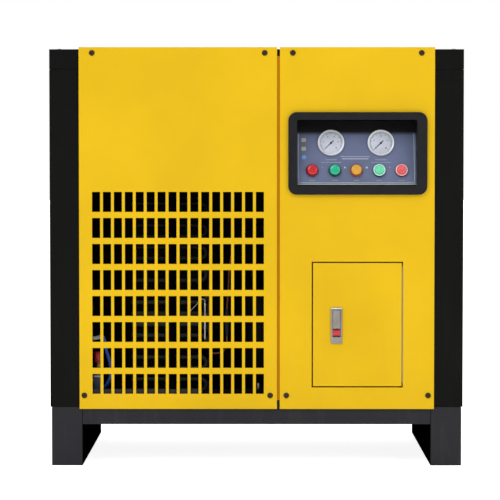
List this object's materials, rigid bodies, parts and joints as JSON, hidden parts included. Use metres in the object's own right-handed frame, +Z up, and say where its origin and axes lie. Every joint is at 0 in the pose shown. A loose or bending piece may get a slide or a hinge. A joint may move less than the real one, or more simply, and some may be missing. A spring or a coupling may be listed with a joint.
{
  "type": "refrigerated air dryer",
  "caption": "Floor-standing refrigerated compressed-air dryer: sheet-metal cabinet on skid legs, slotted intake grille, recessed control bezel and hinged electrical door.",
  "frame": {"origin": "on the floor, under the middle of the object's bounding box", "axes": "+Z up, the front faces -Y, +X to the viewer's right"},
  "size_m": [0.94, 0.656, 0.952],
  "materials": {
    "yellow_paint": "satin powder coat",
    "black_paint": "satin powder coat",
    "grey_paint": "fine-textured powder coat",
    "galvanised": "galvanised",
    "steel": "satin",
    "black_plastic": "fine-grained",
    "plate_blue": "satin",
    "chrome": "polished",
    "glass": "clear",
    "pointer_black": "matt",
    "red_plastic": "gloss",
    "green_plastic": "gloss",
    "orange_plastic": "gloss",
    "screw_black": "blackened",
    "copper": "drawn tube",
    "aluminium": "mill finish",
    "enamel_black": "gloss enamel",
    "foam": "closed-cell foam skin",
    "brass": "machined",
    "blue_hose": "satin"
  },
  "bodies": {
    "root": {"left_skid_leg": "grey_paint", "right_skid_leg": "grey_paint", "front_beam": "grey_paint", "rear_beam": "grey_paint", "floor_pan": "grey_paint", "front_left_post": "black_paint", "front_right_post": "black_paint", "rear_left_post": "black_paint", "rear_right_post": "black_paint", "centre_post": "black_paint", "top_cover": "black_paint", "left_side_panel": "black_paint", "right_side_panel": "black_paint", "rear_panel": "black_paint", "grille_panel": "yellow_paint", "control_panel": "yellow_paint", "door_hinge": "steel", "control_bezel": "black_plastic", "instrument_plate": "plate_blue", "pressure_gauge_case": "chrome", "pressure_gauge_lens": "glass", "dew_point_gauge_case": "chrome", "dew_point_gauge_lens": "glass", "power_lamp": "red_plastic", "run_lamp": "green_plastic", "fault_lamp": "orange_plastic", "start_button_collar": "green_plastic", "stop_button_collar": "red_plastic", "electrical_box": "galvanised", "contactor": "black_plastic", "condenser_coil": "enamel_black", "fan_shroud": "black_paint", "fan_motor": "enamel_black", "compressor": "enamel_black", "heat_exchanger": "foam", "water_separator": "aluminium", "discharge_line": "copper", "suction_line": "copper", "drain_hose": "blue_hose", "air_inlet_pipe": "steel", "air_outlet_pipe": "steel", "drain_valve_body": "brass", "screw_grille_top_left": "screw_black", "screw_grille_top_right": "screw_black", "screw_grille_low_left": "screw_black", "screw_grille_low_right": "screw_black", "screw_control_top_left": "screw_black", "screw_control_top_right": "screw_black", "screw_control_low_left": "screw_black", "screw_control_low_right": "screw_black"},
    "door": {"electrical_door": "yellow_paint", "latch_body": "steel"},
    "latch_handle": {"latch_handle": "steel"},
    "latch_button": {"latch_button": "red_plastic"},
    "start_button": {"start_button": "green_plastic"},
    "stop_button": {"stop_button": "red_plastic"},
    "pressure_pointer": {"pressure_gauge_pointer": "pointer_black"},
    "dew_point_pointer": {"dew_point_gauge_pointer": "pointer_black"},
    "fan_rotor": {"fan_rotor": "enamel_black"},
    "drain_lever": {"drain_valve_handle": "red_plastic"}
  },
  "joints": [
    {"name": "door_swing", "type": "hinge", "parent": "root", "child": "door", "pos_m": [0.3316, -0.3195, 0.3225], "axis": [0, 0, 1], "range_deg": [0, 110]},
    {"name": "latch_handle_swing", "type": "hinge", "parent": "door", "child": "latch_handle", "pos_m": [0.182, -0.323, 0.3545], "axis": [-1, 0, 0], "range_deg": [0, 40]},
    {"name": "latch_button_press", "type": "slide", "parent": "door", "child": "latch_button", "axis": [0, 1, 0], "range_m": [0, 0.0035], "stiffness_N_per_m": 400},
    {"name": "start_button_press", "type": "slide", "parent": "root", "child": "start_button", "axis": [0, 0.9659, -0.2588], "range_m": [0, 0.0035], "stiffness_N_per_m": 400},
    {"name": "stop_button_press", "type": "slide", "parent": "root", "child": "stop_button", "axis": [0, 0.9659, -0.2588], "range_m": [0, 0.0035], "stiffness_N_per_m": 400},
    {"name": "pressure_pointer_turn", "type": "hinge", "parent": "root", "child": "pressure_pointer", "pos_m": [0.1698, -0.28736, 0.73505], "axis": [0, 0.9659, -0.2588], "range_deg": [0, 270]},
    {"name": "dew_point_pointer_turn", "type": "hinge", "parent": "root", "child": "dew_point_pointer", "pos_m": [0.2835, -0.28736, 0.73505], "axis": [0, 0.9659, -0.2588], "range_deg": [0, 270]},
    {"name": "fan_spin", "type": "hinge", "parent": "root", "child": "fan_rotor", "pos_m": [-0.2475, -0.09, 0.38], "axis": [0, 1, 0], "continuous": true},
    {"name": "drain_lever_turn", "type": "hinge", "parent": "root", "child": "drain_lever", "pos_m": [0.29, 0.313, 0.2278], "axis": [0, 0, 1], "range_deg": [0, 90]}
  ]
}
